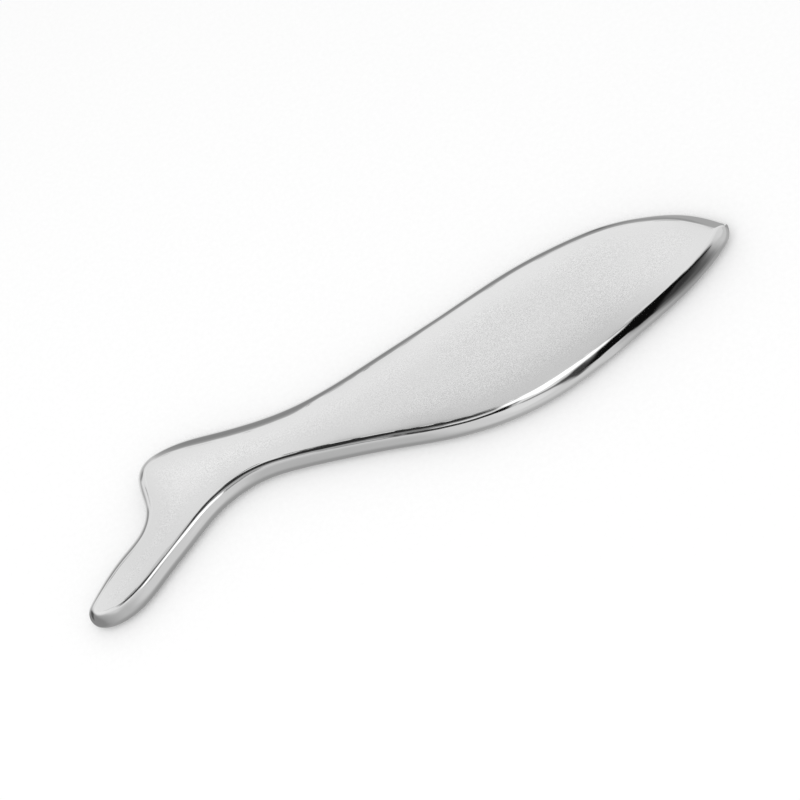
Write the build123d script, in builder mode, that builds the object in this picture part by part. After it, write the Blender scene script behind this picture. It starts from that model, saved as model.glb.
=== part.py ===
"""Gua sha scraper: one fish-shaped plate of polished stainless steel.

The plate lies flat on the XY plane. +X points to the nose, +Y to the back of the
fish and -Y to its belly. The origin is at the middle of the footprint, on the
lower face. Units are millimetres.
"""

from build123d import *
import os

# Plate
plate_thickness = 5.6
rim_land = 0.1  # upright band left at the middle of the rounded rim
rim_radius = (plate_thickness - rim_land) / 2

# Nose: the one sharp corner of the outline, and the two directions that meet there
nose_corner = (86.0, -1.5)
nose_back_heading = (-2.0, 3.0)
nose_front_heading = (0.1, 1.0)

# Tight bends of the outline, each an arc through three points
fin_bend = [(-58.3, 19.1), (-62.0, 17.3), (-63.7, 14.0)]
fork_bend = [(-64.2, 8.0), (-65.4, 4.3), (-68.2, 1.3)]
lobe_bend = [(-84.7, -9.1), (-86.0, -12.0), (-84.4, -14.9)]

# Long edges of the outline, between the bends
back_points = [
    (80.0, 5.4),
    (72.0, 10.4),
    (62.0, 14.2),
    (50.0, 16.0),
    (38.0, 16.3),
    (20.0, 14.7),
    (0.0, 13.0),
    (-18.0, 12.1),
    (-31.0, 13.8),
    (-41.0, 16.4),
    (-50.0, 18.8),
]
lobe_top_points = [
    (-73.0, -1.2),
    (-80.0, -5.4),
]
belly_points = [
    (-80.0, -16.2),
    (-74.0, -15.5),
    (-66.0, -11.7),
    (-56.0, -6.5),
    (-49.0, -3.1),
    (-43.0, -1.5),
    (-36.0, -1.1),
    (-28.0, -2.7),
    (-16.0, -6.6),
    (-4.0, -11.0),
    (6.0, -14.9),
    (18.0, -18.2),
    (31.0, -19.3),
    (45.0, -17.7),
    (60.0, -14.3),
    (71.0, -11.3),
    (78.0, -8.4),
    (83.0, -5.7),
    (85.2, -3.8),
]

os.makedirs("parts", exist_ok=True)


def blend(start_point, start_heading, points, end_point, end_heading):
    """A smooth edge through the points that leaves and arrives along two headings."""
    headings = [start_heading, end_heading]
    Spline(start_point, *points, end_point, tangents=headings, tangent_scalars=[1.0, 1.0])


with BuildPart() as scraper_body:
    with BuildSketch() as footprint:
        with BuildLine() as outline:
            fin = ThreePointArc(*fin_bend)
            fork = ThreePointArc(*fork_bend)
            lobe = ThreePointArc(*lobe_bend)
            blend(nose_corner, nose_back_heading, back_points, fin @ 0, fin % 0)
            blend(fin @ 1, fin % 1, [], fork @ 0, fork % 0)
            blend(fork @ 1, fork % 1, lobe_top_points, lobe @ 0, lobe % 0)
            blend(lobe @ 1, lobe % 1, belly_points, nose_corner, nose_front_heading)
        make_face()
    extrude(amount=plate_thickness)
    rim_edges = scraper_body.edges().filter_by(Axis.Z, reverse=True)
    fillet(rim_edges, radius=rim_radius)

scraper_body.part.label = "scraper_body"
export_step(scraper_body.part, "parts/scraper_body.step")
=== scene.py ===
"""Looks for the gua sha scraper: one piece of polished steel and a fitted photo studio.

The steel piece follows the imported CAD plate. Its outline is read from the CAD node, and
its rounded rim, its soft nose ridge and its slightly crowned faces are rebuilt as a fine,
smooth mesh. Lengths are metres and angles are degrees, unless a name says otherwise.
"""

import math

import bmesh
import bpy
import numpy as np
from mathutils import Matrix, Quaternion, Vector
from mathutils.geometry import delaunay_2d_cdt


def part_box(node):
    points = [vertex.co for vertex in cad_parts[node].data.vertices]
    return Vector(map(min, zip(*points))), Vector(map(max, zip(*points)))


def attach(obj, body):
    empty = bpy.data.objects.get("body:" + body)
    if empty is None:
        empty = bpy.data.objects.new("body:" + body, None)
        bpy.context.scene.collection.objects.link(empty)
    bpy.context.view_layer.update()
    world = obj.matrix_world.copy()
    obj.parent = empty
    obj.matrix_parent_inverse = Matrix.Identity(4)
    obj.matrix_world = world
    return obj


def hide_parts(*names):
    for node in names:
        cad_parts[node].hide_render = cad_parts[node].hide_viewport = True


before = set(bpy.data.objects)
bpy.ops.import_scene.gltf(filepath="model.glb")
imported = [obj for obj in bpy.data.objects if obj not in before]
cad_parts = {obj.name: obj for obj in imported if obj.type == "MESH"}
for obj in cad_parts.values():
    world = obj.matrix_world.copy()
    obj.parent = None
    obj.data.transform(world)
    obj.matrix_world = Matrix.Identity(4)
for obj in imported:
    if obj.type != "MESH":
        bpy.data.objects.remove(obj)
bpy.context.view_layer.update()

MM = 0.001
NODE = "scraper_body"

# Plate, from the CAD node
plate_low, plate_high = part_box(NODE)
half_thickness = (plate_high.z - plate_low.z) / 2
mid_height = (plate_high.z + plate_low.z) / 2
plate_centre = Vector(((plate_low.x + plate_high.x) / 2, (plate_low.y + plate_high.y) / 2, mid_height))

# Mesh of the plate. The CAD rim has a narrow upright land at its crest.
LAND_HALF_HEIGHT = 0.05 * MM
RIM_RADIUS = half_thickness - LAND_HALF_HEIGHT
CROWN_HEIGHT = 0.04 * MM
CROWN_WIDTH = 6.0 * MM
OUTLINE_FINE_STEP = 0.1 * MM
OUTLINE_SPACING = 0.3 * MM
OUTLINE_SOFTENING = 0.8 * MM
RIM_STEPS = 36
FACE_SUPPORTS = (0.12 * MM, 0.35 * MM, 0.7 * MM)
FACE_GRID = 1.0 * MM
GRAIN_INSET = 6.0 * MM
NOSE_FADE = 20.0 * MM
NOSE_SOFTENING = 0.22 * MM
MITRE_SAMPLES = 400
CROWN_SMOOTHING_ROUNDS = 25
SAME_POINT = 0.001 * MM
SAME_HEIGHT = 0.002 * MM
WELD_DISTANCE = 0.002 * MM

# Stretches where the rim's rounding reaches further over the face, measured from the nose
# along the back: where each begins to widen, is widest, starts to narrow and ends
WAIST_SHOULDER = (106 * MM, 116 * MM, 136 * MM, 150 * MM)
WAIST_SHOULDER_WIDTH = 0.9 * MM
NOSE_SHOULDER_END = 18 * MM
NOSE_SHOULDER_WIDTH = 0.6 * MM
SNOUT_SHOULDER_END = 10 * MM
SNOUT_SHOULDER_WIDTH = 0.3 * MM

# Steel: noise scales per metre, the part of the noise that is used, and what it is spread over
NOISE_RANGE = (0.3, 0.7)
GRAIN_SCALE = 4600.0
GRAIN_GREYS = (0.63, 0.94)
CLOUD_SCALE = 60.0
PATCH_RANGE = (0.35, 0.6)
PATCH_SHARES = (0.35, 1.0)
RIPPLE_SCALE = 170.0
RIPPLE_DEPTH = 0.07 * MM
FACE_GREY = 0.785
RIM_GREYS = (0.79, 0.81)
FACE_ROUGHNESS = (0.10, 0.14)
RIM_ROUGHNESS = (0.06, 0.09)

# Camera, turned about its own axis by its roll
CAMERA_AZIMUTH = 8.527
CAMERA_ELEVATION = 58.0
CAMERA_ROLL = -36.14
CAMERA_DISTANCE = 0.46247
CAMERA_TARGET = Vector((1.126, -0.136, 2.8)) * MM
CAMERA_LENS = 90.0
CAMERA_SENSOR = 36.0

# Studio. The tent's ends stay full until late, as a high power of the way along it.
FLOOR_HALF_SIZE = 4.0
FIBRE_SCALE = 900.0
PAPER_GREYS = (0.91, 0.93)
SURROUND_STRENGTH = 0.85
CLOTH_BRIGHTNESS = 0.89
TENT_RADIUS = 100 * MM
TENT_HALF_LENGTH = 360 * MM
TENT_END_POWER = 6
TENT_ROWS = 560
TENT_COLUMNS = 540
NEAR_CARD_RADIUS = 25 * MM
NEAR_CARD_GRID = 0.4


# ---------------------------------------------------------------- outline

def cad_outline_points():
    """The plate's widest outline, walked once round from the nose corner, seen from above."""
    mesh = bmesh.new()
    mesh.from_mesh(bpy.data.objects[NODE].data)
    bmesh.ops.remove_doubles(mesh, verts=mesh.verts, dist=SAME_POINT)
    rim_top = mid_height + half_thickness - RIM_RADIUS
    ring = {v for v in mesh.verts if abs(v.co.z - rim_top) < SAME_HEIGHT}
    nose = max(ring, key=lambda v: v.co.x)
    neighbours = {v: [e.other_vert(v) for e in v.link_edges if e.other_vert(v) in ring] for v in ring}
    walk = [nose, max(neighbours[nose], key=lambda v: v.co.y)]
    for _ in range(len(ring) - 1):
        walk += [v for v in neighbours[walk[-1]] if v is not walk[-2]][:1]
    points = np.array([[v.co.x, v.co.y] for v in walk])
    mesh.free()
    return points


def arc_lengths(points):
    """Distance along a line of points, from its start."""
    steps = np.linalg.norm(np.diff(points, axis=0), axis=1)
    return np.concatenate([[0.0], np.cumsum(steps)])


def cubic_through(stations, values, at):
    """A natural cubic spline through the values, read at other stations."""
    count = len(stations)
    gaps = np.diff(stations)[:, None]
    slopes = np.diff(values, axis=0) / gaps
    matrix = np.eye(count)
    right = np.zeros_like(values)
    for i in range(1, count - 1):
        matrix[i, i - 1:i + 2] = [gaps[i - 1, 0], 2 * (gaps[i - 1, 0] + gaps[i, 0]), gaps[i, 0]]
        right[i] = 6 * (slopes[i] - slopes[i - 1])
    bend = np.linalg.solve(matrix, right)
    k = np.clip(np.searchsorted(stations, at) - 1, 0, count - 2)
    t = (at - stations[k])[:, None]
    gap = gaps[k]
    start_slope = slopes[k] - gap * (2 * bend[k] + bend[k + 1]) / 6
    return values[k] + t * start_slope + t ** 2 * bend[k] / 2 + t ** 3 * (bend[k + 1] - bend[k]) / (6 * gap)


def evenly_spaced(points, spacing):
    """The same line with points an even distance apart."""
    stations = arc_lengths(points)
    count = int(round(stations[-1] / spacing)) + 1
    even = np.linspace(0, stations[-1], count)
    return np.stack([np.interp(even, stations, points[:, i]) for i in (0, 1)], axis=1)


def softened(points, distance, spacing):
    """The line with its abrupt changes of curvature spread over a distance. Its ends stay."""
    points = points.copy()
    for _ in range(int(round(2 * (distance / spacing) ** 2))):
        points[1:-1] += 0.5 * ((points[:-2] + points[2:]) / 2 - points[1:-1])
    return points


def line_normals(points):
    """Unit normals that point out of the plate, for an outline walked anticlockwise."""
    along = np.gradient(points, axis=0)
    along /= np.linalg.norm(along, axis=1)[:, None]
    return np.stack([along[:, 1], -along[:, 0]], axis=1)


def cross(first, second):
    """Cross product of flat vectors, as a number."""
    return first[..., 0] * second[..., 1] - first[..., 1] * second[..., 0]


def smooth_step(value, low, high):
    """Goes smoothly from 0 at low to 1 at high. High may be below low."""
    t = np.clip((value - low) / (high - low), 0, 1)
    return t * t * (3 - 2 * t)


class Outline:
    """The plate's outline from the nose corner round to the nose corner again."""

    def __init__(self):
        corners = cad_outline_points()
        stations = arc_lengths(corners)
        at = np.linspace(0, stations[-1], int(stations[-1] / OUTLINE_FINE_STEP))
        points = evenly_spaced(cubic_through(stations, corners, at), OUTLINE_FINE_STEP)
        self.points = softened(points, OUTLINE_SOFTENING, OUTLINE_FINE_STEP)
        self.normals = line_normals(self.points)
        self.stations = arc_lengths(self.points)
        self.length = self.stations[-1]

    def reach(self, stations):
        """How far the rim's rounding reaches in from the outline, at stations along it."""
        begins, full, narrows, ends = WAIST_SHOULDER
        waist = smooth_step(stations, begins, full) * smooth_step(stations, ends, narrows)
        nose = smooth_step(stations, NOSE_SHOULDER_END, 0)
        snout = smooth_step(self.length - stations, SNOUT_SHOULDER_END, 0)
        wider = waist * WAIST_SHOULDER_WIDTH + nose * NOSE_SHOULDER_WIDTH
        return RIM_RADIUS + (wider + snout * SNOUT_SHOULDER_WIDTH)

    def offset(self, stations, share, inset):
        """Points inside the outline by a share of the rim's reach and a further inset."""
        place = [np.interp(stations, self.stations, self.points[:, i]) for i in (0, 1)]
        out = np.stack([np.interp(stations, self.stations, self.normals[:, i]) for i in (0, 1)], axis=1)
        out /= np.linalg.norm(out, axis=1)[:, None]
        inward = share * self.reach(stations) + inset
        return np.stack(place, axis=1) - inward[:, None] * out

    def mitre(self, share, inset):
        """How far along each end of the outline the two offset sides of the nose meet."""
        if share + inset == 0:
            return 0.0, 0.0
        along = np.linspace(0, 0.8 * NOSE_FADE, MITRE_SAMPLES)
        back = self.offset(along, share, inset)
        front = self.offset(self.length - along, share, inset)
        back_step, front_step = np.diff(back, axis=0)[:, None], np.diff(front, axis=0)[None]
        gap = front[None, :-1] - back[:-1, None]
        turn = cross(back_step, front_step)
        turn = np.where(abs(turn) < 1e-20, 1e-20, turn)
        t, u = cross(gap, front_step) / turn, cross(gap, back_step) / turn
        i, j = np.argwhere((t >= 0) & (t <= 1) & (u >= 0) & (u <= 1))[0]
        return (i + t[i, j]) * along[1], (j + u[i, j]) * along[1]

    def ring(self, share, inset=0.0):
        """A closed ring of points inside the outline. The first is on the nose ridge."""
        count = int(round(self.length / OUTLINE_SPACING))
        even = np.linspace(0, self.length, count + 1)
        skip_back, skip_front = self.mitre(share, inset)
        near_start = np.clip(1 - even / NOSE_FADE, 0, 1) ** 2
        near_end = np.clip(1 - (self.length - even) / NOSE_FADE, 0, 1) ** 2
        stations = even + skip_back * near_start - skip_front * near_end
        return soften_nose(self.offset(stations, share, inset)[:-1])


def soften_nose(ring):
    """Rounds the ring's corner at its first point, and leaves the rest."""
    ring = ring.copy()
    count = len(ring)
    away = np.minimum(np.arange(count), count - np.arange(count)) * OUTLINE_SPACING
    weight = 0.5 * np.clip(2 - away / (3 * NOSE_SOFTENING), 0, 1)[:, None]
    for _ in range(int(round(2 * (NOSE_SOFTENING / OUTLINE_SPACING) ** 2)) + 1):
        middle = (np.roll(ring, 1, axis=0) + np.roll(ring, -1, axis=0)) / 2
        ring += weight * (middle - ring)
    return ring


# ---------------------------------------------------------------- steel piece

def crown(distance):
    """Height of the face over its edge, at a distance inside that edge."""
    rest = 1 - np.clip(distance / CROWN_WIDTH, 0, 1)
    return CROWN_HEIGHT * (1 - rest ** 2)


def rim_rings(outline):
    """Rings of the rounded rim from the upper face's edge round to the lower face's edge."""
    rings = []
    rise = half_thickness - CROWN_HEIGHT
    for step in range(RIM_STEPS + 1):
        tilt = math.pi * step / RIM_STEPS
        flat = outline.ring(max(0.0, 1 - math.sin(tilt)))
        rings.append((flat, mid_height + rise * math.cos(tilt)))
    return rings


def distance_to_ring(points, ring):
    """Distance from each point to the nearest point of a closed ring."""
    starts = ring
    sides = np.roll(ring, -1, axis=0) - ring
    lengths = (sides ** 2).sum(axis=1)
    best = np.full(len(points), np.inf)
    for start, side, length in zip(starts, sides, lengths):
        t = np.clip(((points - start) @ side) / length, 0, 1)
        nearest = start + t[:, None] * side
        best = np.minimum(best, ((points - nearest) ** 2).sum(axis=1))
    return np.sqrt(best)


def inside_ring(points, ring):
    """Which points are inside a closed ring."""
    x, y = points[:, 0], points[:, 1]
    inside = np.zeros(len(points), bool)
    for (x0, y0), (x1, y1) in zip(ring, np.roll(ring, -1, axis=0)):
        if y0 != y1:
            crosses = (y0 > y) != (y1 > y)
            inside ^= crosses & (x < x0 + (y - y0) * (x1 - x0) / (y1 - y0))
    return inside


def face_fill(edge_ring, inner_ring):
    """Points inside the inner ring, triangles over it, each point's crown height and its inset."""
    low, high = inner_ring.min(axis=0), inner_ring.max(axis=0)
    row_gap = FACE_GRID * math.sqrt(3) / 2
    rows = []
    for number, y in enumerate(np.arange(low[1], high[1], row_gap)):
        shift = FACE_GRID / 2 * (number % 2)
        x = np.arange(low[0] + shift, high[0], FACE_GRID)
        rows.append(np.stack([x, np.full(len(x), y)], axis=1))
    grid = np.concatenate(rows)
    grid = grid[inside_ring(grid, inner_ring)]
    grid = grid[distance_to_ring(grid, inner_ring) > 0.45 * FACE_GRID]
    every = np.concatenate([inner_ring, grid])
    count = len(inner_ring)
    sides = [(i, (i + 1) % count) for i in range(count)]
    made = delaunay_2d_cdt([Vector(p) for p in every / MM], sides, [], 1, 1e-6)
    points = np.array([list(p) for p in made[0]]) * MM
    triangles = [tuple(face) for face in made[2]]
    insets = distance_to_ring(points, edge_ring)
    heights = crown(insets)
    edges = np.array([tuple(e) for e in made[1]])
    free = distance_to_ring(points, inner_ring) > 0.2 * FACE_GRID
    for _ in range(CROWN_SMOOTHING_ROUNDS):
        total = np.zeros(len(points))
        links = np.zeros(len(points))
        for a, b in (edges.T, edges.T[::-1]):
            np.add.at(total, a, heights[b])
            np.add.at(links, a, 1)
        heights = np.where(free, (heights + total / links) / 2, heights)
    return points, triangles, heights, insets


def steel_mesh():
    """The whole closed plate: rim rings, support rings on both faces and the face fills."""
    outline = Outline()
    rings = rim_rings(outline)
    edge_ring = rings[0][0]
    top = half_thickness - CROWN_HEIGHT
    supports = [(outline.ring(1.0, inset), crown(inset)) for inset in FACE_SUPPORTS]
    upper = [(ring, mid_height + top + rise) for ring, rise in reversed(supports)]
    lower = [(ring, mid_height - top - rise) for ring, rise in supports]
    stack = upper + rings + lower
    count = len(edge_ring)
    vertices = [(x, y, z) for ring, z in stack for x, y in ring]
    shine = [0.0] * (len(upper) * count) + [1.0] * (len(rings) * count) + [0.0] * (len(lower) * count)
    middle = [0.0] * len(vertices)
    faces = []
    for k in range(len(stack) - 1):
        for i in range(count):
            j = (i + 1) % count
            faces.append((k * count + i, (k + 1) * count + i, (k + 1) * count + j, k * count + j))
    points, triangles, heights, insets = face_fill(edge_ring, supports[-1][0])
    for side in (1, -1):
        first = len(vertices)
        z = mid_height + side * (top + heights)
        vertices += [(x, y, h) for (x, y), h in zip(points, z)]
        shine += [0.0] * len(points)
        middle += list(smooth_step(insets, 0, GRAIN_INSET))
        faces += [tuple(first + v for v in triangle[::side]) for triangle in triangles]
    mesh = bpy.data.meshes.new("scraper_steel")
    mesh.from_pydata(vertices, [], faces)
    for name, values in (("rim", shine), ("middle", middle)):
        mesh.attributes.new(name, "FLOAT", "POINT").data.foreach_set("value", values)
    tidy = bmesh.new()
    tidy.from_mesh(mesh)
    bmesh.ops.remove_doubles(tidy, verts=tidy.verts, dist=WELD_DISTANCE)
    bmesh.ops.recalc_face_normals(tidy, faces=tidy.faces)
    tidy.to_mesh(mesh)
    tidy.free()
    mesh.shade_smooth()
    return mesh


# ---------------------------------------------------------------- materials

class Nodes:
    """A short way to add and link shader nodes."""

    def __init__(self, tree):
        self.tree = tree
        tree.nodes.clear()

    def add(self, kind, settings=None, **inputs):
        """A new node with its settings. An input's name has _ where its socket has a space."""
        node = self.tree.nodes.new(kind)
        for name, value in (settings or {}).items():
            setattr(node, name, value)
        for name, value in inputs.items():
            self.feed(node, name.replace("_", " "), value)
        return node

    def feed(self, node, socket, value):
        """Links another node's output to a socket, or sets the socket to a number or colour."""
        target = node.inputs[socket]
        if isinstance(value, bpy.types.NodeSocket):
            self.tree.links.new(value, target)
        else:
            target.default_value = value

    def scale(self, value, span, source=(0.0, 1.0)):
        """A value that goes over the span as the input goes over the source."""
        node = self.add(
            "ShaderNodeMapRange", {"clamp": True}, Value=value, From_Min=source[0], From_Max=source[1],
            To_Min=span[0], To_Max=span[1],
        )
        return node.outputs["Result"]

    def mix(self, factor, first, second):
        """A number that goes from first to second with the factor."""
        node = self.add("ShaderNodeMix", {"data_type": "FLOAT"})
        for socket, value in zip(("Factor", "A", "B"), (factor, first, second)):
            self.feed(node, socket, value)
        return node.outputs["Result"]

    def multiply(self, first, second):
        """The product of two outputs."""
        node = self.add("ShaderNodeMath", {"operation": "MULTIPLY"})
        self.tree.links.new(first, node.inputs[0])
        self.tree.links.new(second, node.inputs[1])
        return node.outputs["Value"]

    def noise(self, scale, detail, place):
        """Soft noise, its scale per metre."""
        node = self.add("ShaderNodeTexNoise", {}, Scale=scale, Detail=detail, Roughness=0.5, Vector=place)
        return node.outputs["Factor"] if "Factor" in node.outputs else node.outputs["Fac"]

    def grey(self, level):
        """A grey colour from its level."""
        return self.add("ShaderNodeCombineColor", {}, Red=level, Green=level, Blue=level).outputs["Color"]


def steel_material():
    """Stainless steel: a mirror-polished rim and finely satin faces, both with slight unevenness."""
    material = bpy.data.materials.new("steel")
    material.use_nodes = True
    nodes = Nodes(material.node_tree)
    place = nodes.add("ShaderNodeTexCoord").outputs["Object"]
    rim = nodes.add("ShaderNodeAttribute", {"attribute_name": "rim"}).outputs["Fac"]
    middle = nodes.add("ShaderNodeAttribute", {"attribute_name": "middle"}).outputs["Fac"]
    grain = nodes.noise(GRAIN_SCALE, 2.0, place)
    cloud = nodes.noise(CLOUD_SCALE, 3.0, place)
    face_rough = nodes.scale(cloud, FACE_ROUGHNESS, NOISE_RANGE)
    rim_rough = nodes.scale(cloud, RIM_ROUGHNESS, NOISE_RANGE)
    roughness = nodes.mix(rim, face_rough, rim_rough)
    grainy_grey = nodes.scale(grain, GRAIN_GREYS, NOISE_RANGE)
    grain_share = nodes.multiply(middle, nodes.scale(cloud, PATCH_SHARES, PATCH_RANGE))
    face_grey = nodes.mix(grain_share, FACE_GREY, grainy_grey)
    rim_grey = nodes.scale(cloud, RIM_GREYS, NOISE_RANGE)
    colour = nodes.grey(nodes.mix(rim, face_grey, rim_grey))
    wave = nodes.scale(nodes.noise(RIPPLE_SCALE, 1.0, place), (-0.5, 0.5))
    ripple = nodes.mix(rim, 0.0, wave)
    bump = nodes.add("ShaderNodeBump", {}, Strength=1.0, Distance=RIPPLE_DEPTH, Height=ripple)
    shader = nodes.add(
        "ShaderNodeBsdfPrincipled", {}, Base_Color=colour, Roughness=roughness, Metallic=1.0,
        Normal=bump.outputs["Normal"],
    )
    output = nodes.add("ShaderNodeOutputMaterial")
    nodes.tree.links.new(shader.outputs["BSDF"], output.inputs["Surface"])
    return material


def floor_material():
    """A plain matt paper sheet with a faint unevenness."""
    material = bpy.data.materials.new("paper_floor")
    material.use_nodes = True
    nodes = Nodes(material.node_tree)
    place = nodes.add("ShaderNodeTexCoord").outputs["Object"]
    fibre = nodes.noise(FIBRE_SCALE, 4.0, place)
    colour = nodes.grey(nodes.scale(fibre, PAPER_GREYS, NOISE_RANGE))
    shader = nodes.add("ShaderNodeBsdfDiffuse", {}, Color=colour)
    output = nodes.add("ShaderNodeOutputMaterial")
    nodes.tree.links.new(shader.outputs["BSDF"], output.inputs["Surface"])
    return material


# ---------------------------------------------------------------- light tent

def signed_inside(outline, along, around, radius):
    """Distance inside a closed outline, negative outside it, on an unrolled cylinder, in metres."""
    corners = np.array([[x * MM, radius * math.radians(angle)] for x, angle in outline])
    points = np.stack([along, around * radius], axis=1)
    distance = distance_to_ring(points, corners)
    return np.where(inside_ring(points, corners), distance, -distance)


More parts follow.
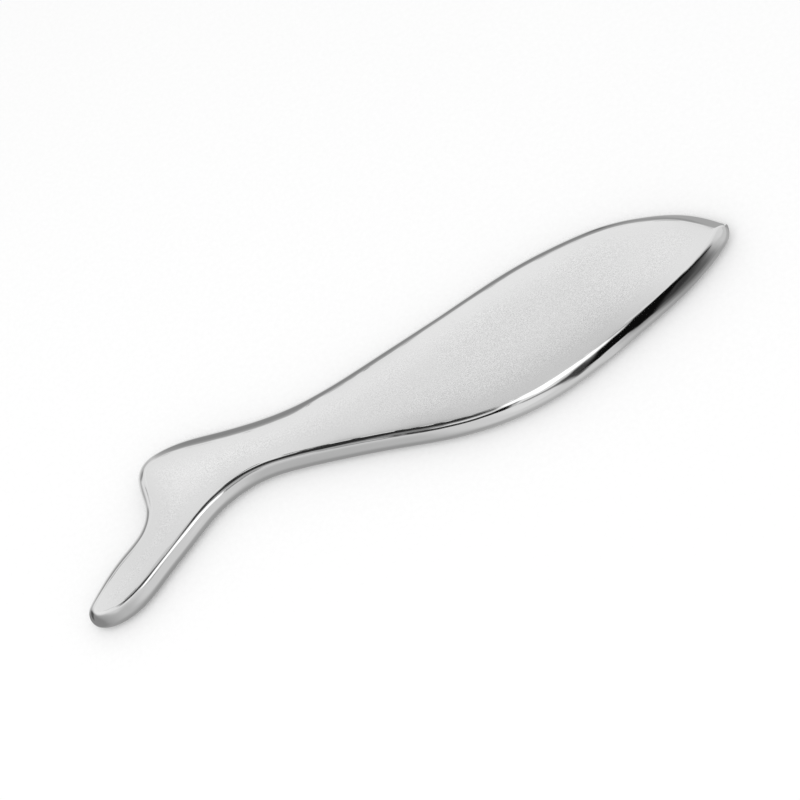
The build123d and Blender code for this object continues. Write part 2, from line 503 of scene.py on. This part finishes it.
def tent_cards():
    """The cloth, cards and flags that hang on the tent, each later one over those before.

    Each has a brightness, the width of its soft edge in millimetres, and an outline on the
    unrolled tent: millimetres along it and degrees round it. 0 is the far horizon, 90 is
    overhead and 180 is the horizon behind the camera.

    This isn't a plain studio. The places and tones were fitted to the streaks that
    the photographed scraper shows, with its reflections traced back onto the tent. An empty
    list leaves plain cloth.
    """
    return [
        # the overhead cloth: brighter towards the far wall and the tail, shaded over the belly's edge
        (1.04, 14, [(-66, 45), (-40, 48), (-20, 50), (40, 51), (80, 54), (98, 58), (92, 62), (76, 58),
                    (40, 56), (0, 55), (-40, 53), (-66, 52)]),
        (0.96, 30, [(76, 56), (100, 60), (110, 78), (90, 78), (70, 68)]),
        (0.60, 24, [(-10, 66), (20, 69), (60, 70), (74, 73), (60, 80), (-10, 80)]),
        (0.96, 20, [(-220, 44), (-96, 50), (-92, 62), (-108, 72), (-132, 86), (-220, 90)]),
        # near cloth, darker to the left
        (0.73, 16, [(-108, 93), (-84, 97), (-64, 101), (-54, 107), (-38, 113), (-28, 122), (-8, 126),
                    (4, 132), (18, 142), (30, 152), (44, 172), (66, 166), (78, 188), (60, 340),
                    (-108, 340)]),
        (0.55, 50, [(-600, 92), (-122, 92), (-112, 118), (-88, 104), (-66, 130), (-66, 170), (-40, 200),
                    (-30, 340), (-600, 340)]),
        (0.86, 24, [(-12, 128), (2, 128), (18, 142), (28, 156), (22, 172), (-2, 176), (-12, 160)]),
        # plain cloth beyond the right end
        (0.68, 40, [(128, 98), (600, 80), (600, 340), (128, 340)]),
        # shade near the table, with a paler seam
        (0.50, 75, [(-30, 214), (600, 214), (600, 380), (-30, 380)]),
        (0.36, 90, [(-600, 212), (-10, 212), (0, 380), (-600, 380)]),
        (0.74, 12, [(54, 168), (64, 168), (66, 232), (57, 236)]),
        (0.38, 10, [(-600, -150), (600, -150), (600, -62), (-600, -62)]),
        # far wall under the bright overhead cloth, darker towards the floor
        (0.46, 12, [(-60, -6), (-58, 38), (-34, 43), (-26, 46), (-16, 46), (-8, 49), (8, 49), (20, 43),
                    (32, 43), (42, 48), (76, 49), (86, 45), (94, 46), (98, 58), (103, 64), (600, 62),
                    (600, -6), (90, -10), (80, -2), (0, -2)]),
        (0.29, 36, [(-58, -6), (-52, 32), (-10, 40), (10, 38), (24, 28), (40, 38), (78, 38), (92, 30),
                    (110, 22), (110, 2), (0, 4)]),
        (0.36, 10, [(106, 60), (116, 58), (124, 44), (118, 20), (106, 20)]),
        (0.17, 12, [(86, 20), (94, 20), (95, -4), (86, -4)]),
        # grey beyond the left end, and the shaded left end of the far wall
        (0.58, 24, [(-600, -6), (-62, -6), (-62, 24), (-86, 24), (-150, 14), (-600, 10)]),
        (0.32, 12, [(-128, 4), (-112, 10), (-100, 12), (-88, 18), (-84, 28), (-90, 33), (-100, 30),
                    (-112, 26), (-124, 16)]),
        (0.40, 6, [(-105, 37), (-96, 41), (-88, 46), (-88, 49), (-98, 46), (-106, 42)]),
        (0.42, 56, [(-600, -140), (-146, -140), (-146, 20), (-150, 50), (-150, 70), (-140, 80),
                    (-130, 92), (-128, 140), (-128, 380), (-600, 380)]),
        (0.28, 70, [(-600, -140), (-172, -140), (-172, 60), (-176, 100), (-178, 180), (-160, 210),
                    (-150, 240), (-140, 380), (-600, 380)]),
        (0.10, 24, [(-600, 8), (-166, 8), (-164, 40), (-176, 54), (-600, 58)]),
        # thin dark tape over the tail, on a paler strip
        (0.64, 14, [(-90, 63), (-62, 62), (-54, 72), (-54, 80), (-62, 84), (-90, 74)]),
        (0.05, 6, [(-96, 66), (-90, 66), (-82, 70), (-72, 76), (-64, 82), (-59, 78), (-56, 68), (-50, 70),
                   (-52, 84), (-58, 90), (-63, 93), (-70, 90), (-80, 84), (-89, 81), (-97, 86),
                   (-95, 76)]),
        # dark flag over the waist, fading upwards
        (0.44, 12, [(-66, 88), (-40, 84), (-30, 96), (-34, 103), (-44, 100), (-66, 98)]),
        (0.24, 10, [(-58, 78), (-40, 70), (0, 72), (17, 78), (14, 88), (6, 95), (-12, 94), (-22, 97),
                    (-31, 101), (-40, 95), (-50, 90)]),
        (0.03, 5, [(-58, 79), (-54, 64), (-50, 56), (-46, 63), (-42, 66), (-36, 63), (-28, 61), (-20, 61),
                   (-12, 64), (0, 67), (9, 70), (16, 75), (16, 81), (8, 87), (-10, 85), (-24, 82),
                   (-36, 86), (-48, 87)]),
        # second dark flag, with a black end, and the grey tape that runs on from it
        (0.32, 5, [(-66, 104), (-61, 97), (-54, 98), (-49, 104), (-45, 112), (-48, 118), (-55, 113),
                   (-61, 108)]),
        (0.04, 6, [(-44, 98), (-36, 98), (-30, 99), (-23, 102), (-14, 105), (-4, 106), (8, 102),
                   (14, 104), (8, 112), (2, 124), (-8, 122), (-22, 121), (-34, 118), (-47, 115),
                   (-50, 110), (-46, 104)]),
        (0.0, 4, [(-8, 122), (-6, 112), (1, 105), (10, 101), (15, 104), (9, 113), (3, 125), (-4, 126)]),
        (0.28, 8, [(6, 122), (14, 125), (24, 131), (32, 134), (40, 138), (40, 160), (30, 150), (20, 141),
                   (8, 132)]),
        # white card overhead, its shaded upper edge, and the grey gap beside it
        (0.80, 10, [(16, 110), (34, 112), (40, 117), (34, 126), (20, 124), (14, 118)]),
        (1.4, 7, [(11, 93), (16, 84), (22, 79), (30, 76), (42, 75), (50, 80), (56, 88), (59, 96),
                  (60, 102), (55, 106), (48, 108), (40, 111), (33, 114), (27, 117), (21, 119), (20, 108),
                  (15, 100)]),
        (0.46, 7, [(54, 78), (64, 82), (72, 87), (66, 95), (60, 92), (57, 86)]),
        # black flag over the head, which fades towards the table and the nose
        (0.38, 50, [(74, 180), (76, 140), (90, 100), (112, 108), (128, 128), (140, 150), (150, 175),
                    (150, 210), (140, 245), (110, 262), (76, 262)]),
        (0.22, 40, [(76, 178), (80, 120), (92, 100), (112, 110), (124, 126), (134, 150), (142, 175),
                    (138, 205), (118, 212), (104, 198), (84, 192)]),
        (0.12, 30, [(76, 172), (82, 110), (94, 98), (108, 106), (119, 116), (126, 142), (134, 165),
                    (130, 186), (114, 184), (96, 176), (84, 176)]),
        (0.04, 34, [(78, 156), (84, 95), (104, 104), (118, 114), (116, 132), (112, 150), (98, 157),
                    (90, 160)]),
        (0.80, 22, [(126, 106), (134, 116), (146, 130), (170, 142), (240, 130), (240, 92), (130, 92)]),
        (0.03, 6, [(98, 98), (108, 106), (117, 112), (127, 118), (128, 123), (118, 121), (106, 116)]),
        (0.06, 12, [(52, 114), (44, 119), (38, 127), (31, 138), (33, 152), (37, 168), (42, 178),
                    (49, 172), (54, 140)]),
        (0.004, 8, [(83, 80), (90, 87), (98, 97), (105, 103), (114, 111), (102, 113), (93, 112),
                    (88, 125), (84, 150), (80, 172), (74, 170), (68, 159), (62, 160), (56, 166),
                    (50, 166), (45, 160), (50, 140), (53, 118), (59, 110), (65, 104), (69, 92),
                    (76, 86)]),
    ]


def near_outline():
    """Outline of a small card that hangs close over the tail, as the tent's cards are given."""
    return [(-78, 97), (-70, 92), (-62, 87), (-56, 83), (-51, 81), (-48, 85), (-45.6, 91), (-45.4, 106),
            (-52, 112), (-66, 112), (-76, 107)]


def near_cards():
    """Tones of the small card: pale cloth with a white strip, which draws the tail's bright line."""
    return [
        (0.72, 4, [(-90, 60), (-40, 60), (-40, 140), (-90, 140)]),
        (1.5, 3, [(-73, 97), (-70, 93), (-66, 93), (-62, 91), (-58, 87), (-54, 86), (-50, 85), (-44, 88),
                  (-44, 105), (-48, 108), (-52, 105), (-57, 103), (-64, 105), (-70, 104)]),
    ]


def tent_brightness(along, around, cards, radius):
    """Brightness of a cylinder of cloth with its cards, at points along and round it."""
    light = np.full(len(along), CLOTH_BRIGHTNESS)
    for level, soft, outline in cards:
        inside = signed_inside(outline, along, around, radius)
        half_edge = soft * MM / 2
        light += smooth_step(inside, -half_edge, half_edge) * (level - light)
    return light


def glow_material():
    """Cloth that shines evenly, as bright as the mesh's glow says, with no shading."""
    material = bpy.data.materials.new("glowing_cloth")
    material.use_nodes = True
    nodes = Nodes(material.node_tree)
    glow = nodes.add("ShaderNodeAttribute", {"attribute_name": "glow"}).outputs["Fac"]
    emission = nodes.add("ShaderNodeEmission", {}, Strength=glow)
    output = nodes.add("ShaderNodeOutputMaterial")
    nodes.tree.links.new(emission.outputs["Emission"], output.inputs["Surface"])
    material.cycles.emission_sampling = "NONE"
    return material


def hang_in_studio(name, vertices, faces, glow, material):
    """Hangs glowing cloth round the plate, turned with the camera. It shows only in reflections."""
    mesh = bpy.data.meshes.new(name)
    mesh.from_pydata([tuple(v) for v in vertices], [], faces)
    mesh.attributes.new("glow", "FLOAT", "POINT").data.foreach_set("value", glow)
    mesh.materials.append(material)
    hung = bpy.data.objects.new(name, mesh)
    hung.location = plate_centre
    hung.rotation_euler.z = math.radians(CAMERA_AZIMUTH)
    bpy.context.scene.collection.objects.link(hung)
    for ray in ("camera", "diffuse", "transmission", "volume_scatter", "shadow"):
        setattr(hung, "visible_" + ray, False)
    return hung


def on_cylinder(along, around, radius):
    """Points at lengths along a cylinder and angles round it."""
    return np.stack([along, radius * np.cos(around), radius * np.sin(around)], axis=-1)


def near_card(material):
    """The small card over the tail: a fine grid, cut to its outline."""
    outline = np.array(near_outline(), float)
    low, high = outline.min(axis=0), outline.max(axis=0)
    columns, rows = (np.arange(low[i], high[i], NEAR_CARD_GRID) for i in (0, 1))
    grid = np.stack(np.meshgrid(columns, rows), axis=-1).reshape(-1, 2)
    grid = grid[inside_ring(grid, outline)]
    grid = grid[distance_to_ring(grid, outline) > 0.3 * NEAR_CARD_GRID]
    every = np.concatenate([outline, grid])
    sides = [(i, (i + 1) % len(outline)) for i in range(len(outline))]
    made = delaunay_2d_cdt([Vector(p) for p in every], sides, [], 1, 1e-6)
    points = np.array([list(p) for p in made[0]])
    along, around = points[:, 0] * MM, np.radians(points[:, 1])
    glow = tent_brightness(along, around, near_cards(), NEAR_CARD_RADIUS)
    vertices = on_cylinder(along, around, NEAR_CARD_RADIUS)
    return hang_in_studio("near_card", vertices, [tuple(face) for face in made[2]], glow, material)


def light_tent(material):
    """A closed tent of glowing cloth round the plate, with rounded ends."""
    turns = np.linspace(-math.pi / 2, math.pi / 2, TENT_ROWS + 1)[1:-1]
    along = TENT_HALF_LENGTH * np.sin(turns)
    radius = TENT_RADIUS * (1 - (along / TENT_HALF_LENGTH) ** TENT_END_POWER) ** 0.5
    around = np.radians(np.linspace(-90, 270, TENT_COLUMNS, endpoint=False))
    grid_along, grid_around = (grid.ravel() for grid in np.meshgrid(along, around, indexing="ij"))
    vertices = on_cylinder(grid_along, grid_around, np.repeat(radius, TENT_COLUMNS))
    faces = []
    for i in range(len(along) - 1):
        for j in range(TENT_COLUMNS):
            k = (j + 1) % TENT_COLUMNS
            corners = [(i, j), (i, k), (i + 1, k), (i + 1, j)]
            faces.append(tuple(row * TENT_COLUMNS + column for row, column in corners))
    last = (len(along) - 1) * TENT_COLUMNS
    faces.append(tuple(range(TENT_COLUMNS)))
    faces.append(tuple(last + j for j in reversed(range(TENT_COLUMNS))))
    glow = tent_brightness(grid_along, grid_around, tent_cards(), TENT_RADIUS)
    return hang_in_studio("light_tent", vertices, faces, glow, material)


# ---------------------------------------------------------------- studio

def floor_sheet():
    """The pale sheet under the plate. It stays out of the plate's reflections, as in a tent."""
    signs = ((-1, -1), (1, -1), (1, 1), (-1, 1))
    corners = [(x * FLOOR_HALF_SIZE, y * FLOOR_HALF_SIZE, 0) for x, y in signs]
    mesh = bpy.data.meshes.new("floor")
    mesh.from_pydata(corners, [], [(0, 1, 2, 3)])
    mesh.materials.append(floor_material())
    sheet = bpy.data.objects.new("floor", mesh)
    bpy.context.scene.collection.objects.link(sheet)
    sheet.visible_glossy = False
    return sheet


def towards_viewer(azimuth, elevation):
    """Unit vector from the plate, at degrees round it from the near side and degrees up."""
    a, e = math.radians(azimuth), math.radians(elevation)
    return Vector((math.sin(a) * math.cos(e), -math.cos(a) * math.cos(e), math.sin(e)))


def soft_light(name, azimuth, elevation, distance, size, power):
    """A large square light that points at the plate."""
    data = bpy.data.lights.new(name, "AREA")
    data.shape = "SQUARE"
    data.size = size
    data.energy = power
    lamp = bpy.data.objects.new(name, data)
    back = towards_viewer(azimuth, elevation)
    lamp.location = plate_centre + back * distance
    lamp.rotation_mode = "QUATERNION"
    lamp.rotation_quaternion = (-back).to_track_quat("-Z", "Y")
    lamp.visible_glossy = False
    bpy.context.scene.collection.objects.link(lamp)


def pale_world():
    """An even pale surround."""
    world = bpy.data.worlds.new("surround")
    world.use_nodes = True
    nodes = Nodes(world.node_tree)
    background = nodes.add("ShaderNodeBackground", {}, Color=(1.0, 1.0, 1.0, 1.0), Strength=SURROUND_STRENGTH)
    output = nodes.add("ShaderNodeOutputWorld")
    nodes.tree.links.new(background.outputs["Background"], output.inputs["Surface"])
    bpy.context.scene.world = world


def photo_camera():
    """The camera, seen from the photograph's angle and turned about its own axis."""
    data = bpy.data.cameras.new("camera")
    data.lens = CAMERA_LENS
    data.sensor_width = CAMERA_SENSOR
    camera = bpy.data.objects.new("camera", data)
    back = towards_viewer(CAMERA_AZIMUTH, CAMERA_ELEVATION)
    camera.location = CAMERA_TARGET + back * CAMERA_DISTANCE
    camera.rotation_mode = "QUATERNION"
    roll = Quaternion((0, 0, 1), math.radians(CAMERA_ROLL))
    camera.rotation_quaternion = (-back).to_track_quat("-Z", "Y") @ roll
    bpy.context.scene.collection.objects.link(camera)
    bpy.context.scene.camera = camera


def main():
    """The steel piece in place of the CAD node, then the studio round it."""
    steel = bpy.data.objects.new("scraper_steel", steel_mesh())
    steel.data.materials.append(steel_material())
    bpy.context.scene.collection.objects.link(steel)
    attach(steel, "root")
    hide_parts(NODE)
    cloth = glow_material()
    floor_sheet()
    light_tent(cloth)
    near_card(cloth)
    soft_light("key_light", azimuth=-30, elevation=70, distance=0.9, size=0.8, power=2.6)
    pale_world()
    photo_camera()
    bpy.context.scene.view_settings.view_transform = "Standard"


main()
